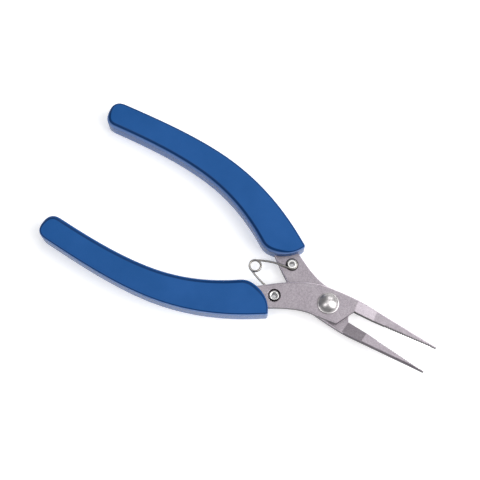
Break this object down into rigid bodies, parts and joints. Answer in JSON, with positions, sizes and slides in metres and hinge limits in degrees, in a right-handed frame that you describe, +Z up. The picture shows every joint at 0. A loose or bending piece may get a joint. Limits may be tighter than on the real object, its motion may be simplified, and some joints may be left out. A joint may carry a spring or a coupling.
{
  "type": "needle nose pliers",
  "caption": "Small needle nose pliers: lapped steel halves on a domed rivet, long serrated jaws, moulded handle grips and a return spring.",
  "frame": {"origin": "centre of the base of the box, with the pliers lying on the flat undersides of their grips", "axes": "+X towards the jaw tips, +Y towards the rear half's handle, +Z up along the pivot axis towards the rivet's domed head"},
  "size_m": [0.1284, 0.0536, 0.0094],
  "materials": {
    "steel": "satin, bead-blasted stainless",
    "grip": "smooth, semi-gloss blue",
    "rivet": "polished dome",
    "eyelet": "bright plated",
    "spring": "bright spring wire"
  },
  "bodies": {
    "front": {"front_half": "steel", "front_grip": "grip", "front_eyelet": "eyelet", "pivot_rivet": "rivet", "pivot_washer": "rivet"},
    "rear": {"rear_half": "steel", "rear_grip": "grip", "rear_eyelet": "eyelet"},
    "spring_front_leg": {"spring_front": "spring"},
    "spring_rear_leg": {"spring_rear": "spring"}
  },
  "joints": [
    {"name": "pivot", "type": "hinge", "parent": "front", "child": "rear", "pos_m": [0.02783, 0, 0.0044], "axis": [0, 0, 1], "range_deg": [-8, 13], "stiffness_Nm_per_rad": 0.6},
    {"name": "spring_hook", "type": "hinge", "parent": "front", "child": "spring_front_leg", "pos_m": [0.01171, -0.006, 0.0044], "axis": [0, 0, 1], "range_deg": [-11, 17]},
    {"name": "spring_coil", "type": "hinge", "parent": "spring_front_leg", "child": "spring_rear_leg", "pos_m": [0.00161, 0, 0.0044], "axis": [0, 0, 1], "range_deg": [-21, 13]}
  ],
  "couplings": [
    {"joint": "spring_hook", "follows": "pivot", "ratio": 1.29},
    {"joint": "spring_coil", "follows": "pivot", "ratio": -1.58}
  ]
}
